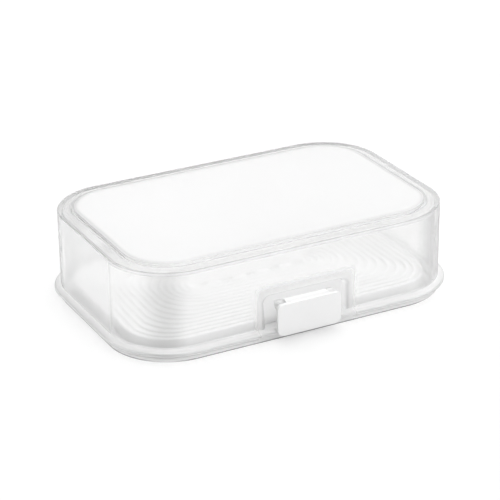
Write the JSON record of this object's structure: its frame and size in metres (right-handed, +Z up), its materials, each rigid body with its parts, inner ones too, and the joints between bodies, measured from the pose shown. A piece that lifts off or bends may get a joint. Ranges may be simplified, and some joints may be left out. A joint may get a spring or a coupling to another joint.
{
  "type": "travel soap box",
  "caption": "Clear travel soap box with a hinged lid, a snap latch at the front, a shallow flared tray and a lift-out ridged drain insert.",
  "frame": {"origin": "on the resting plane, under the centre of the lid's outline", "axes": "+X along the long side to the right, +Y from the latch at the front to the hinges at the back, +Z up"},
  "size_m": [0.1088, 0.0755, 0.0282],
  "materials": {
    "clear_plastic": "clear gloss moulding with a fine frosted top panel",
    "milky_plastic": "milky satin moulding",
    "latch_plastic": "milky satin moulding",
    "pin_steel": "drawn stainless wire"
  },
  "bodies": {
    "base": {"tray": "clear_plastic", "hinge_pin_left": "pin_steel", "hinge_pin_right": "pin_steel"},
    "insert": {"drain_insert": "milky_plastic"},
    "lid": {"lid": "clear_plastic"},
    "latch": {"latch": "latch_plastic"}
  },
  "joints": [
    {"name": "lid_hinge", "type": "hinge", "parent": "base", "child": "lid", "pos_m": [0, 0.03705, 0.0041], "axis": [-1, 0, 0], "range_deg": [0, 105]},
    {"name": "latch_pivot", "type": "hinge", "parent": "lid", "child": "latch", "pos_m": [0, -0.0334, 0.01], "axis": [-1, 0, 0], "range_deg": [0, 90]},
    {"name": "insert_lift", "type": "slide", "parent": "base", "child": "insert", "axis": [0, 0, 1], "range_m": [0, 0.018]}
  ]
}
